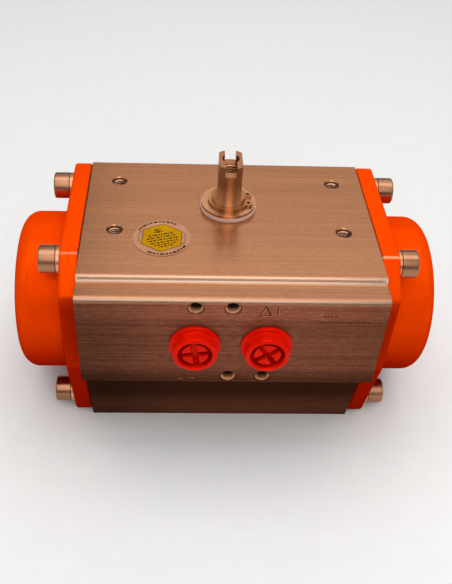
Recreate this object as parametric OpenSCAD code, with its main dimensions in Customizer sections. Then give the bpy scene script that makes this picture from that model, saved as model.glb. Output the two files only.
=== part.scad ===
// Quarter-turn rack-and-pinion pneumatic actuator, spring return.
// Millimetres. The origin is where the pinion axis meets the valve flange face:
// +Z up the shaft, +X along the cylinder, -Y towards the air ports.
// Shown closed: springs extended, pistons together, shaft slot along Y.

/* [Body] */
// Length of the extruded body
body_l = 102; // [98:1:110]
// Height of the body over the flange face
body_h = 82; // [80:1:84]
// Distance of the body's upright sides from the centre plane
side_y = 38.5; // [37:0.5:40]
// Half width of the foot at the flange face
foot_y = 29; // [28:0.5:31]
// Height at which the foot has widened to the full width
waist_z = 38; // [36:1:39]
// Leg of the long bevel on the rear top edge
rear_bevel = 11; // [9:0.5:12]
// Diameter of the cylinder bore
bore_d = 52; // [51:1:53]
// Height of the cylinder axis
axis_z = 41; // [40.5:0.5:41.5]

/* [Port face] */
// Distance of the port face from the pinion axis
pad_y = 48.5; // [47:0.5:50]
// Height of the underside of the port pad
pad_under_z = 41; // [40:0.5:41]
// Half width of the top face towards the ports
top_front_y = 39.7; // [39:0.1:42]
// Drop from the top face to the narrow shelf over the ports
shelf_drop = 2.2; // [2.2:0.1:2.6]
// Distance between the two ports
port_pitch = 24; // [24:0.5:25]
// Height of the port axes
port_z = 60; // [59.5:0.5:60.5]
// Thread diameter of the ports
port_d = 13.16; // [13:0.02:13.2]
// Height of the pilot valve screws over and under the port axes
pilot_rise = 16; // [15:0.5:16]

/* [Top pattern] */
// Long spacing of the accessory screw holes
top_pitch_x = 80; // [76:1:82]
// Short spacing of the accessory screw holes
top_pitch_y = 30; // [28:1:30]
// Diameter of the small threaded holes
small_thread_d = 5; // [5:0.1:5.2]
// Depth of the threaded holes
thread_depth = 8; // [7:0.5:9]

/* [Valve flange] */
// Pitch circle of the inner screw holes
inner_pcd = 36; // [36:0.5:37]
// Pitch circle of the outer screw holes
outer_pcd = 50; // [50:0.5:51]
// Diameter of the outer screw holes
large_thread_d = 6; // [5.8:0.1:6]

/* [Shaft and pinion] */
// Diameter of the shaft end
shaft_d = 12; // [11.6:0.2:12]
// Height of the shaft end over the top face
shaft_rise = 20; // [18:1:24]
// Width across the shaft's two flats
shaft_af = 8; // [7.6:0.2:8.4]
// Width of the driving slot
slot_w = 4; // [3.8:0.1:4.2]
// Depth of the driving slot
slot_depth = 4; // [3.5:0.5:4.5]
// Width across flats of the valve stem socket
socket_af = 11; // [10:0.5:11]
// Depth of the valve stem socket
socket_depth = 12; // [10:0.5:12]
// Gear module
gear_module = 1.25; // [1.25]
// Number of pinion teeth
gear_teeth = 16; // [16]

/* [Pistons] */
// Distance of a piston's inner face from the pinion axis when closed
piston_x = 21.5; // [21.5:0.5:22]
// Thickness of the piston head
piston_t = 11; // [11:0.5:11.5]
// Height of the rack arms
rack_h = 18; // [16:1:18]

/* [End caps] */
// Thickness of the cap's flange plate
plate_t = 6.4; // [6:0.2:7]
// Outer radius of the domed part
dome_r = 30.4; // [30:0.2:31]
// Distance of the dome's end from the pinion axis
dome_x = 76.8; // [75:0.2:80]
// Radius of the dome's rim
dome_round = 6; // [4:0.5:7]
// Wall thickness of the dome
dome_wall = 4; // [3.5:0.25:4.25]
// Half spacing of the cap screws across the body
screw_y = 22.5; // [22:0.5:23]
// Distance of the cap screws from the cylinder axis, up and down
screw_rise = 33.5; // [33:0.5:34]

/* [Port plugs] */
// Diameter of the plug flange
plug_flange_d = 17.4; // [16.6:0.2:18]
// Diameter over the corners of the eight-sided grip
plug_grip_d = 15.2; // [14.4:0.2:15.4]
// How far the plug stands out of the port face
plug_rise = 5.6; // [5:0.2:7]

/* [Rating label] */
// Diameter of the round label
label_d = 19.8; // [16:0.2:22]

/* [Springs] */
// Number of turns in each spring
spring_turns = 7; // [6:1:8]
// Wire diameter
wire_d = 2; // [1.6:0.1:2]
// Mean diameter of the coils
coil_d = 10.4; // [10:0.2:10.6]

/* [Hidden] */
$fn = 96;

// Play between a turning or sliding pair, and of parts that only sit in a seat
run_play = 0.05;
seat_play = 0.03;
// Overlap that lets a cut pass cleanly through a face
eps = 1;

// Body outline
top_edge_r = 1;
shelf_edge_r = 1.8;
shelf_y = pad_y - shelf_edge_r;
shelf_z = body_h - shelf_drop;
step_fillet = 1.2;
pad_edge_r = 0.6;
bore_r = bore_d / 2;
bore_bevel = 0.6;

// Bores on the pinion axis
journal_r = shaft_d / 2;
lower_journal_r = 11.6;
top_hole_r = journal_r + 0.3;
foot_hole_r = lower_journal_r + 0.35;
bush_wall = 1.9;
upper_bush_r = journal_r + run_play + bush_wall;
lower_bush_r = lower_journal_r + run_play + bush_wall;
foot_lip = 5;
ring_seat_z = body_h - 15.5;
thrust_ring_t = 1.5;
thrust_ring_z = ring_seat_z - thrust_ring_t;
ring_seat_r = 9.7;
thrust_ring_play = 0.2;
upper_bush_h = 8.5;
lower_bush_top = 14.5;

// Threaded holes
small_thread_r = small_thread_d / 2;
large_thread_r = large_thread_d / 2;
mouth_bevel = 0.4;
port_r = port_d / 2;
port_depth = 12;
port_bevel = 0.6;
pilot_holes = [
    [-port_pitch / 2, port_z + pilot_rise],
    [0, port_z + pilot_rise],
    [0, port_z - pilot_rise],
    [port_pitch / 2, port_z - pilot_rise]];

// Air ways: one port feeds the space between the pistons, the other both caps
bore_way_r = 2.2;
bore_way_z = port_z - 2;
channel_r = 2.2;
channel_y = -31;
channel_z = port_z + 6;
channel_way_r = 1.8;
channel_way_z = port_z + 4.5;
channel_off_z = channel_z - axis_z;

// Cap screws: M6 socket heads on spring washers
screw_r = 2.95;
screw_head_r = 5;
screw_head_h = 6;
screw_head_bevel = 0.5;
screw_l = 20;
screw_hex = 5;
screw_hex_depth = 3;
clearance_r = 3.3;
washer_r = 4.95;
washer_t = 1.6;
washer_split = 1.4;
washer_split_turn = 40;
washer_play = 0.1;
screw_hole_depth = 13.5;

// Cap outline
gasket_t = 0.5;
gasket_inset = 0.5;
plate_x = body_l / 2 + gasket_t;
plate_face_x = plate_x + plate_t;
plate_round = 1.2;
corner_round = 2;
plate_foot_z = 1.6;
plate_top_z = body_h - 0.4;
plate_foot_y = foot_y - 0.8;
cavity_r = dome_r - dome_wall;
cavity_x = dome_x - dome_wall;
cavity_round = 3;
air_groove_w = 4;
air_groove_depth = 2.5;
air_groove_lap = 2;
spring_boss_r = 3.6;
spring_boss_h = 3;

// Involute gear
pressure_angle = 20;
pitch_r = gear_module * gear_teeth / 2;
base_r = pitch_r * cos(pressure_angle);
tip_r = pitch_r + 0.95 * gear_module;
root_r = pitch_r - 1.25 * gear_module;
gear_play = 0.12;
root_spread = 0.6;
flank_steps = 5;
gear_z = 28;
gear_h = 26;
neck_r = 8.2;
shoulder_r = 9.4;
shoulder_h = 6;
journal_top_z = body_h + shaft_rise;
flat_z = body_h + 5;
slot_z = journal_top_z - slot_depth;
shaft_thread_depth = 10;
shaft_bevel = 0.5;
pinion_foot_z = 0.5;

// Rack
rack_pitch = PI * gear_module;
rack_tip = 0.9 * gear_module;
rack_root = 1.25 * gear_module;
rack_teeth = 10;
rack_back_y = 22.5;
rack_end_x = 20.2;

// O-rings and their grooves, which leave some room over and under the ring
ring_room = 0.1;
upper_ring_section = 0.65;
upper_ring_z = body_h - 3.5;
upper_groove_r = 4.9;
lower_ring_section = 0.8;
lower_ring_z = 2.9;
lower_groove_r = 10.2;

// Stack on the shaft end
disc_r = 10.1;
disc_t = 1.2;
shaft_washer_r = 9.9;
shaft_washer_t = 1.2;
shaft_washer_play = 0.3;
washer_z = body_h + disc_t;
clip_play = 0.05;
clip_z = washer_z + shaft_washer_t + clip_play;
clip_t = 1;
clip_groove_r = 5.2;
clip_r = 7.3;
clip_lug_r = 1.5;
clip_lug_at = 7.5;
clip_lug_turn = 21;
clip_hole_r = 0.7;
clip_gap = 3.2;

// Piston
piston_r = bore_r - 0.3;
piston_outer_x = piston_x + piston_t;
guide_x = piston_x + 1.4;
guide_w = 3.4;
guide_play = 0.1;
guide_floor_r = bore_r - 1.5;
seal_x = piston_x + 6.4;
seal_w = 2.8;
seal_floor_r = bore_r - 2.75;
seal_section = 1.3;
seal_r = bore_r - 2 * run_play - seal_section;
piston_bevel = 0.8;
pocket_r = 7;
pocket_depth = 3.5;
spring_off = 10.5;
spring_seats = [for (y = [-1, 1], z = [-1, 1]) [y * spring_off, z * spring_off]];

// Wear pad between the back of the rack and the bore
pad_half_h = 8;
pad_l = 24;
pad_peg_r = 2;
pad_peg_l = 2;
pad_peg_room = 0.2;

// Springs, between the pockets and the inside of the dome
spring_gap = 0.1;
spring_start_x = piston_outer_x - pocket_depth + spring_gap;
spring_l = cavity_x - spring_gap - spring_start_x;
spring_steps = 8;
spring_sides = 5;
end_turn_pitch = 1.05;

// Port plugs
plug_flange_t = 1.5;
plug_round_r = plug_grip_d / 2 - 0.1;
plug_shank_r = port_r - 0.08;
plug_shank_l = 8.5;
plug_core_r = 4.4;
plug_recess_r = 5.8;
plug_recess_depth = 3.2;
plug_boss_r = 4;
plug_boss_drop = 0.5;
plug_cross_w = 1.8;
plug_cross_depth = 1.8;
plug_bevel = 0.5;
plug_turns = [8, 34];

// Label
label_t = 0.2;
label_pos = [-23.5, -19.5];

// Colours
metal = "#b27858";
dark_metal = "#6e4637";
steel = "#c8a284";
paint = "#f84800";
plug_red = "#dc1e10";

// ---------- helpers ----------

// Points of an arc about c, from angle a0 to angle a1
function arc(c, r, a0, a1, n = 6) =
    [for (i = [0 : n]) c + r * [cos(a0 + (a1 - a0) * i / n), sin(a0 + (a1 - a0) * i / n)]];

// Turns a shape made around +Z so that it lies along +X, with 2D x as Y and 2D y as Z
module along_x() {
    rotate([90, 0, 90]) children();
}

// Cylinder along +X from x0 to x1, at height z and offset y
module rod_x(x0, x1, r, y = 0, z = 0) {
    translate([x0, y, z]) rotate([0, 90, 0]) cylinder(h = x1 - x0, r = r);
}

// Threaded hole with a bevelled mouth: a cutter that enters downwards from z = 0
module tapped(r, depth, bevel = mouth_bevel) {
    translate([0, 0, -depth]) cylinder(h = depth + eps, r = r);
    translate([0, 0, -bevel]) cylinder(h = bevel + eps, r1 = r, r2 = r + bevel + eps);
}

// Places children on the four cap screw axes
module at_cap_screws() {
    for (y = [-screw_y, screw_y], z = [axis_z - screw_rise, axis_z + screw_rise])
        translate([0, y, z]) children();
}

// ---------- housing ----------

module body_outline() {
    polygon(concat(
        [[-foot_y, 0], [foot_y, 0], [side_y, waist_z], [side_y, body_h - rear_bevel],
         [side_y - rear_bevel, body_h]],
        arc([-top_front_y + top_edge_r, body_h - top_edge_r], top_edge_r, 90, 180),
        arc([-top_front_y - step_fillet, shelf_z + step_fillet], step_fillet, 0, -90, 4),
        arc([-shelf_y, shelf_z - shelf_edge_r], shelf_edge_r, 90, 180),
        arc([-pad_y + pad_edge_r, pad_under_z + pad_edge_r], pad_edge_r, 180, 270, 4),
        [[-side_y, pad_under_z], [-side_y, waist_z]]));
}

module pinion_bores() {
    translate([0, 0, -eps]) cylinder(h = axis_z + eps, r = foot_hole_r);
    translate([0, 0, foot_lip]) cylinder(h = axis_z - foot_lip, r = lower_bush_r + seat_play);
    translate([0, 0, axis_z]) cylinder(h = ring_seat_z - axis_z, r = ring_seat_r);
    translate([0, 0, axis_z])
        cylinder(h = ring_seat_z + upper_bush_h - axis_z, r = upper_bush_r + seat_play);
    translate([0, 0, axis_z]) cylinder(h = body_h, r = top_hole_r);
}

module flange_holes() {
    for (a = [45 : 90 : 315]) {
        rotate([0, 0, a]) translate([inner_pcd / 2, 0, 0])
            mirror([0, 0, 1]) tapped(small_thread_r, thread_depth);
        rotate([0, 0, a]) translate([outer_pcd / 2, 0, 0])
            mirror([0, 0, 1]) tapped(large_thread_r, thread_depth);
    }
}

module top_holes() {
    for (x = [-1, 1], y = [-1, 1])
        translate([x * top_pitch_x / 2, y * top_pitch_y / 2, body_h])
            tapped(small_thread_r, thread_depth);
}

module port_holes() {
    for (x = [-1, 1])
        translate([x * port_pitch / 2, -pad_y, port_z])
            rotate([90, 0, 0]) tapped(port_r, port_depth, port_bevel);
    for (p = pilot_holes)
        translate([p[0], -pad_y, p[1]])
            rotate([90, 0, 0]) tapped(small_thread_r, thread_depth);
}

module air_ways() {
    way_y = pad_y - port_depth + eps;
    translate([-port_pitch / 2, -way_y, bore_way_z])
        rotate([-90, 0, 0]) cylinder(h = way_y - bore_r / 2, r = bore_way_r);
    translate([port_pitch / 2, -way_y, channel_way_z])
        rotate([-90, 0, 0]) cylinder(h = way_y + channel_y, r = channel_way_r);
    rod_x(-body_l / 2 - eps, body_l / 2 + eps, channel_r, channel_y, channel_z);
}

module cap_screw_holes() {
    for (side = [0, 1])
        mirror([side, 0, 0]) at_cap_screws()
            rod_x(body_l / 2 - screw_hole_depth, body_l / 2 + eps, large_thread_r);
}

module cylinder_bore() {
    rod_x(-body_l / 2 - eps, body_l / 2 + eps, bore_r, 0, axis_z);
    for (side = [0, 1])
        mirror([side, 0, 0]) translate([body_l / 2 - bore_bevel, 0, axis_z]) rotate([0, 90, 0])
            cylinder(h = bore_bevel + eps, r1 = bore_r, r2 = bore_r + bore_bevel + eps);
}

module body() {
    color(metal) difference() {
        along_x() linear_extrude(body_l, center = true) body_outline();
        cylinder_bore();
        pinion_bores();
        flange_holes();
        top_holes();
        port_holes();
        air_ways();
        cap_screw_holes();
    }
}

// Cap outline in Y and Z with rounded corners, shrunk by inset
module plate_outline(inset = 0) {
    offset(r = corner_round - inset, $fn = 32) offset(delta = -corner_round)
        polygon([[-plate_foot_y, plate_foot_z], [plate_foot_y, plate_foot_z],
            [side_y, waist_z - 1], [side_y, body_h - rear_bevel],
            [side_y - rear_bevel, plate_top_z], [rear_bevel - side_y, plate_top_z],
            [-side_y, body_h - rear_bevel], [-side_y, waist_z - 1]]);
}

// Plate with its outer edges rounded
module cap_plate() {
    hull() {
        for (a = [0 : 22.5 : 90])
            translate([plate_x, 0, 0]) along_x()
                linear_extrude(plate_t - plate_round * (1 - sin(a)))
                    plate_outline(plate_round * (1 - cos(a)));
    }
}

// Round drum along +X from the plate to x, with a rounded rim
module drum(r, x, rounding) {
    translate([0, 0, axis_z]) rotate([0, 90, 0]) rotate_extrude() {
        translate([0, plate_x]) square([r, x - plate_x - rounding]);
        translate([0, plate_x]) square([r - rounding, x - plate_x]);
        translate([r - rounding, x - rounding]) circle(r = rounding);
    }
}

module end_cap() {
    color(paint) difference() {
        union() {
            cap_plate();
            drum(dome_r, dome_x, dome_round);
        }
        difference() {
            translate([-eps, 0, 0]) drum(cavity_r, cavity_x + eps, cavity_round);
            for (s = spring_seats)
                rod_x(cavity_x - spring_boss_h, cavity_x + eps, spring_boss_r, s[0], axis_z + s[1]);
        }
        at_cap_screws() rod_x(plate_x - eps, plate_face_x + eps, clearance_r);
        // Groove that leads the air from the body's channel into the dome
        translate([plate_x - eps, 0, axis_z]) rotate([atan2(channel_off_z, channel_y), 0, 0])
            translate([0, cavity_r - air_groove_lap, -air_groove_w / 2])
                cube([air_groove_depth + eps,
                    norm([channel_y, channel_off_z]) - cavity_r + 2 * air_groove_lap, air_groove_w]);
    }
}

module end_cap_right() { end_cap(); }
module end_cap_left() { mirror([1, 0, 0]) end_cap(); }

module cap_gasket() {
    x = body_l / 2;
    color("#2a1d18") difference() {
        translate([x, 0, 0]) along_x() linear_extrude(gasket_t) plate_outline(gasket_inset);
        rod_x(x - eps, plate_x + eps, bore_r + bore_bevel, 0, axis_z);
        rod_x(x - eps, plate_x + eps, channel_r, channel_y, channel_z);
        at_cap_screws() rod_x(x - eps, plate_x + eps, clearance_r);
    }
}

module cap_gasket_right() { cap_gasket(); }
module cap_gasket_left() { mirror([1, 0, 0]) cap_gasket(); }

// Socket head cap screw along X, with the underside of its head at x = 0
module cap_screw() {
    difference() {
        union() {
            rod_x(-screw_l, 0, screw_r);
            rod_x(0, screw_head_h - screw_head_bevel, screw_head_r);
            translate([screw_head_h - screw_head_bevel, 0, 0]) rotate([0, 90, 0])
                cylinder(h = screw_head_bevel, r1 = screw_head_r, r2 = screw_head_r - screw_head_bevel);
        }
        translate([screw_head_h - screw_hex_depth, 0, 0]) rotate([0, 90, 0])
            cylinder(h = screw_hex_depth + eps, r = screw_hex / 2 / cos(30), $fn = 6);
    }
}

module cap_screws() {
    color(steel) translate([plate_face_x + washer_t, 0, 0]) at_cap_screws() cap_screw();
}

module cap_screws_right() { cap_screws(); }
module cap_screws_left() { mirror([1, 0, 0]) cap_screws(); }

module lock_washer() {
    difference() {
        rod_x(0, washer_t, washer_r);
        rod_x(-eps, washer_t + eps, screw_r + washer_play);
        rotate([washer_split_turn, 0, 0]) translate([-eps, 0, -washer_split / 2])
            cube([washer_t + 2 * eps, washer_r + eps, washer_split]);
    }
}

module lock_washers() {
    color(steel) translate([plate_face_x, 0, 0]) at_cap_screws() lock_washer();
}

module lock_washers_right() { lock_washers(); }
module lock_washers_left() { mirror([1, 0, 0]) lock_washers(); }

// Plug along +Z with the underside of its flange at z = 0
module port_plug(turn) {
    top_z = plug_rise - plug_boss_drop;
    color(plug_red) difference() {
        union() {
            translate([0, 0, -plug_shank_l]) cylinder(h = plug_shank_l, r = plug_shank_r);
            cylinder(h = plug_flange_t, r = plug_flange_d / 2);
            intersection() {
                rotate([0, 0, 22.5 + turn]) cylinder(h = plug_rise, r = plug_grip_d / 2, $fn = 8);
                union() {
                    cylinder(h = plug_rise - plug_bevel, r = plug_round_r);
                    translate([0, 0, plug_rise - plug_bevel])
                        cylinder(h = plug_bevel, r1 = plug_round_r, r2 = plug_round_r - plug_bevel);
                }
            }
        }
        translate([0, 0, -plug_shank_l - eps]) cylinder(h = plug_shank_l + eps, r = plug_core_r);
        difference() {
            translate([0, 0, plug_rise - plug_recess_depth])
                cylinder(h = plug_recess_depth + eps, r = plug_recess_r);
            cylinder(h = top_z, r = plug_boss_r);
        }
        for (a = [turn, turn + 90])
            rotate([0, 0, a]) translate([-plug_boss_r, -plug_cross_w / 2, top_z - plug_cross_depth])
                cube([2 * plug_boss_r, plug_cross_w, plug_cross_depth + eps]);
    }
}

module placed_plug(side, turn) {
    translate([side * port_pitch / 2, -pad_y, port_z]) rotate([90, 0, 0]) port_plug(turn);
}

module port_plug_left() { placed_plug(-1, plug_turns[0]); }
module port_plug_right() { placed_plug(1, plug_turns[1]); }

module rating_label() {
    color("#d8b090") translate([label_pos[0], label_pos[1], body_h])
        cylinder(h = label_t, r = label_d / 2);
}

// ---------- bearings of the pinion ----------

module ring(h, r_out, r_in) {
    difference() {
        cylinder(h = h, r = r_out);
        translate([0, 0, -eps]) cylinder(h = h + 2 * eps, r = r_in);
    }
}

module o_ring(r, section) {
    rotate_extrude() translate([r, 0]) circle(r = section, $fn = 48);
}

module upper_bush() {
    color("#3c3c40") translate([0, 0, ring_seat_z])
        ring(upper_bush_h, upper_bush_r, journal_r + run_play);
}

module lower_bush() {
    color("#3c3c40") translate([0, 0, foot_lip])
        ring(lower_bush_top - foot_lip, lower_bush_r, lower_journal_r + run_play);
}

module inner_thrust_ring() {
    color("#e8e0d0") translate([0, 0, thrust_ring_z])
        ring(thrust_ring_t, ring_seat_r - thrust_ring_play, journal_r + thrust_ring_play);
}

module top_thrust_disc() {
    color("#ebc8b4") translate([0, 0, body_h]) ring(disc_t, disc_r, top_hole_r);
}

// ---------- pinion ----------

// Roll angle of the involute at radius r, as the angle from its start on the base circle
function involute(r) =
    let (t = sqrt(max(pow(r / base_r, 2) - 1, 0))) t * 180 / PI - atan(t);

// Half the angle that a tooth fills at radius r
function half_tooth(r) =
    90 / gear_teeth - gear_play / pitch_r * 90 / PI + involute(pitch_r) - involute(r);

function polar(r, a) = [r * cos(a), r * sin(a)];

module gear_outline() {
    flank = [for (i = [0 : flank_steps]) base_r + (tip_r - base_r) * i / flank_steps];
    root_half = half_tooth(base_r) - root_spread;
    polygon([for (i = [0 : gear_teeth - 1])
        let (a = 90 + 360 * i / gear_teeth)
        each concat(
            [polar(root_r, a - root_half)],
            [for (r = flank) polar(r, a - half_tooth(r))],
            [for (k = [flank_steps : -1 : 0]) polar(flank[k], a + half_tooth(flank[k]))],
            [polar(root_r, a + root_half)])]);
}

module pinion() {
    color(steel) difference() {
        union() {
            translate([0, 0, pinion_foot_z])
                cylinder(h = lower_bush_top - pinion_foot_z, r = lower_journal_r);
            cylinder(h = thrust_ring_z - run_play, r = neck_r);
            translate([0, 0, gear_z]) linear_extrude(gear_h) gear_outline();
            translate([0, 0, thrust_ring_z - shoulder_h])
                cylinder(h = shoulder_h - run_play, r = shoulder_r);
            cylinder(h = journal_top_z - shaft_bevel, r = journal_r);
            translate([0, 0, journal_top_z - shaft_bevel])
                cylinder(h = shaft_bevel, r1 = journal_r, r2 = journal_r - shaft_bevel);
        }
        // Nothing reaches down to the flange face
        translate([0, 0, -eps]) cylinder(h = pinion_foot_z + eps, r = lower_journal_r + eps);
        // Two squares make the eight-pointed stem socket
        for (a = [0, 45])
            rotate([0, 0, a]) translate([-socket_af / 2, -socket_af / 2, 0])
                cube([socket_af, socket_af, pinion_foot_z + socket_depth]);
        // Flats, driving slot and threaded hole of the shaft end
        for (side = [0, 1])
            mirror([side, 0, 0]) translate([shaft_af / 2, -journal_r - eps, flat_z])
                cube([journal_r, shaft_d + 2 * eps, shaft_rise]);
        translate([-slot_w / 2, -journal_r - eps, slot_z])
            cube([slot_w, shaft_d + 2 * eps, slot_depth + eps]);
        translate([0, 0, slot_z - shaft_thread_depth])
            cylinder(h = shaft_thread_depth + slot_depth + eps, r = large_thread_r);
        // Grooves for the circlip and the two O-rings
        groove(clip_z - clip_play, clip_t + 2 * clip_play, clip_groove_r, journal_r);
        groove(upper_ring_z - upper_ring_section - ring_room,
            2 * (upper_ring_section + ring_room), upper_groove_r, journal_r);
        groove(lower_ring_z - lower_ring_section - ring_room,
            2 * (lower_ring_section + ring_room), lower_groove_r, lower_journal_r);
    }
}

// Cutter for a groove of height h at height z, from radius r_in out past r_out
module groove(z, h, r_in, r_out) {
    translate([0, 0, z]) ring(h, r_out + eps, r_in);
}

module shaft_washer() {
    color(steel) translate([0, 0, washer_z])
        ring(shaft_washer_t, shaft_washer_r, journal_r + shaft_washer_play);
}

module circlip() {
    color(dark_metal) translate([0, 0, clip_z]) difference() {
        union() {
            cylinder(h = clip_t, r = clip_r);
            for (a = [-clip_lug_turn, clip_lug_turn])
                rotate([0, 0, a]) translate([clip_lug_at, 0, 0])
                    cylinder(h = clip_t, r = clip_lug_r);
        }
        translate([0, 0, -eps]) cylinder(h = clip_t + 2 * eps, r = clip_groove_r + run_play);
        translate([0, -clip_gap / 2, -eps]) cube([clip_r + clip_lug_r + eps, clip_gap,
            clip_t + 2 * eps]);
        for (a = [-clip_lug_turn, clip_lug_turn])
            rotate([0, 0, a]) translate([clip_lug_at, 0, -eps])
                cylinder(h = clip_t + 2 * eps, r = clip_hole_r);
    }
}

module upper_o_ring() {
    color("#1c1c1c") translate([0, 0, upper_ring_z])
        o_ring(upper_groove_r + run_play + upper_ring_section, upper_ring_section);
}

module lower_o_ring() {
    color("#1c1c1c") translate([0, 0, lower_ring_z])
        o_ring(lower_groove_r + run_play + lower_ring_section, lower_ring_section);
}

// ---------- pistons ----------

// Rack in plan, on the -Y side, with a tooth space at x = 0
module rack_outline() {
    half = rack_pitch / 4 - gear_play / 2;
    slope = tan(pressure_angle);
    polygon(concat(
        [[-rack_end_x, -rack_back_y], [piston_x + eps, -rack_back_y],
         [piston_x + eps, -pitch_r - rack_root]],
        [for (k = [rack_teeth - 1 : -1 : 0])
            let (x = (k - (rack_teeth - 1) / 2) * rack_pitch)
            each [[x + half + rack_root * slope, -pitch_r - rack_root],
                [x + half - rack_tip * slope, -pitch_r + rack_tip],
                [x - half + rack_tip * slope, -pitch_r + rack_tip],
                [x - half - rack_root * slope, -pitch_r - rack_root]]],
        [[-rack_end_x, -pitch_r - rack_root]]));
}

module piston_head() {
    translate([0, 0, axis_z]) difference() {
        union() {
            rod_x(piston_x + piston_bevel, piston_outer_x - piston_bevel, piston_r);
            rod_x(piston_x, piston_outer_x, piston_r - piston_bevel);
        }
        along_x() translate([0, 0, guide_x])
            ring(guide_w, bore_r + eps, guide_floor_r);
        along_x() translate([0, 0, seal_x])
            ring(seal_w, bore_r + eps, seal_floor_r);
        for (s = spring_seats)
            rod_x(piston_outer_x - pocket_depth, piston_outer_x + eps, pocket_r, s[0], s[1]);
    }
}

module piston() {
    color("#b8a89c") difference() {
        union() {
            piston_head();
            translate([0, 0, axis_z - rack_h / 2]) linear_extrude(rack_h) rack_outline();
        }
        translate([0, -rack_back_y - eps, axis_z]) rotate([-90, 0, 0])
            cylinder(h = pad_peg_l + pad_peg_room + eps, r = pad_peg_r + seat_play);
    }
}

module piston_seal() {
    color("#1c1c1c") translate([seal_x + seal_w / 2, 0, axis_z]) rotate([0, 90, 0])
        o_ring(seal_r, seal_section);
}

module guide_ring() {
    color("#4a4038") translate([guide_x + guide_play, 0, axis_z]) rotate([0, 90, 0])
        ring(guide_w - 2 * guide_play, bore_r - run_play, guide_floor_r + seat_play);
}

module rack_pad() {
    color("#4a4038") translate([0, 0, axis_z]) union() {
        intersection() {
            rod_x(-pad_l / 2, pad_l / 2, bore_r - run_play);
            translate([-pad_l / 2, -bore_r, -pad_half_h])
                cube([pad_l, bore_r - rack_back_y, 2 * pad_half_h]);
        }
        translate([0, -rack_back_y - eps / 2, 0]) rotate([-90, 0, 0])
            cylinder(h = pad_peg_l + eps / 2, r = pad_peg_r);
    }
}

// The left piston is the right one turned half way round the pinion
module half_turn() { rotate([0, 0, 180]) children(); }

module piston_right() { piston(); }
module piston_left() { half_turn() piston(); }
module piston_seal_right() { piston_seal(); }
module piston_seal_left() { half_turn() piston_seal(); }
module guide_ring_right() { guide_ring(); }
module guide_ring_left() { half_turn() guide_ring(); }
module rack_pad_right() { rack_pad(); }
module rack_pad_left() { half_turn() rack_pad(); }

// ---------- springs ----------

// Height of the wire's centre after t turns: the end turns lie against each other
function coil_z(t) =
    let (closed = end_turn_pitch * wire_d,
        start = wire_d / 2 + closed,
        stop = spring_l - wire_d / 2 - closed)
    t < 1 ? wire_d / 2 + closed * t
    : t > spring_turns - 1 ? spring_l - wire_d / 2 - closed * (spring_turns - t)
    : start + (stop - start) * (t - 1) / (spring_turns - 2);

module coil_spring() {
    n = spring_turns * spring_steps;
    m = spring_sides;
    points = [for (i = [0 : n], k = [0 : m - 1])
        let (a = 360 * i / spring_steps, b = 360 * k / m,
            r = coil_d / 2 + wire_d / 2 * cos(b))
        [r * cos(a), r * sin(a), coil_z(i / spring_steps) + wire_d / 2 * sin(b)]];
    sides = [for (i = [0 : n - 1], k = [0 : m - 1])
        let (k2 = (k + 1) % m, near = i * m, far = near + m)
        each [[near + k, far + k, far + k2], [near + k, far + k2, near + k2]]];
    polyhedron(points, concat([[for (k = [0 : m - 1]) k]], sides,
        [[for (k = [m - 1 : -1 : 0]) n * m + k]]));
}

module springs() {
    color(steel) for (s = spring_seats)
        translate([spring_start_x, s[0], axis_z + s[1]]) rotate([0, 90, 0]) coil_spring();
}

module springs_right() { springs(); }
module springs_left() { half_turn() springs(); }

// ---------- nodes ----------

body();
end_cap_left();
end_cap_right();
cap_gasket_left();
cap_gasket_right();
cap_screws_left();
cap_screws_right();
lock_washers_left();
lock_washers_right();
port_plug_left();
port_plug_right();
rating_label();
upper_bush();
lower_bush();
inner_thrust_ring();
top_thrust_disc();
pinion();
shaft_washer();
circlip();
upper_o_ring();
lower_o_ring();
piston_left();
piston_right();
piston_seal_left();
piston_seal_right();
guide_ring_left();
guide_ring_right();
rack_pad_left();
rack_pad_right();
springs_left();
springs_right();
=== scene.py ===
"""Quarter-turn pneumatic actuator: the looks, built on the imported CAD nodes. Metres, in the CAD's frame."""

import math

import bmesh
import bpy
from mathutils import Matrix, Vector


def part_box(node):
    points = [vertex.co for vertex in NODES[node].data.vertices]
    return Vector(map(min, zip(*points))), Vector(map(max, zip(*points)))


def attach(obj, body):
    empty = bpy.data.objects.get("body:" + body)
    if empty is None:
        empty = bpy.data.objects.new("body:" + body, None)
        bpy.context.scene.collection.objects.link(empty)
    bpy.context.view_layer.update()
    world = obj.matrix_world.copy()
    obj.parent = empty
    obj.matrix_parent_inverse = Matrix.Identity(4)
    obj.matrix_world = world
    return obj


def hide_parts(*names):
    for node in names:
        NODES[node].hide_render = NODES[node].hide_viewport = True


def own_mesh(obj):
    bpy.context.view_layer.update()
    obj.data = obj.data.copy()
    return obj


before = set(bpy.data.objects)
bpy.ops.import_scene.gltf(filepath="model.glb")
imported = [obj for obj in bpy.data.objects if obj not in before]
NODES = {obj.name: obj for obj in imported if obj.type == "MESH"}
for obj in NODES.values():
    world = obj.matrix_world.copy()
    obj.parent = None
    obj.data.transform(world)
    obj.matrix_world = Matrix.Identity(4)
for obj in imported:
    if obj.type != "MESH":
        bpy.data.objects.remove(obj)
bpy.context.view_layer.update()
MM = 0.001

BODY_LOW, BODY_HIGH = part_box("body")
TOP_Z = BODY_HIGH.z
PORT_FACE_Y = BODY_LOW.y
AXIS_Z = TOP_Z / 2
# The shelf along the top of the port side, the end of the port face's painted shade just below the shelf's
# rounded edge, and the underside of the thicker part that holds the ports.
SHELF_Z = TOP_Z - 2.2 * MM
PORT_TOP = TOP_Z - 4.6 * MM
PORT_LOW = AXIS_Z
# The top of the end caps' plates, and where it starts to slope off on both sides.
CAP_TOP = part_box("end_cap_right")[1].z
CAP_SLOPE_Y = 27.5 * MM


# ---------- camera, lights and floor ----------

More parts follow.
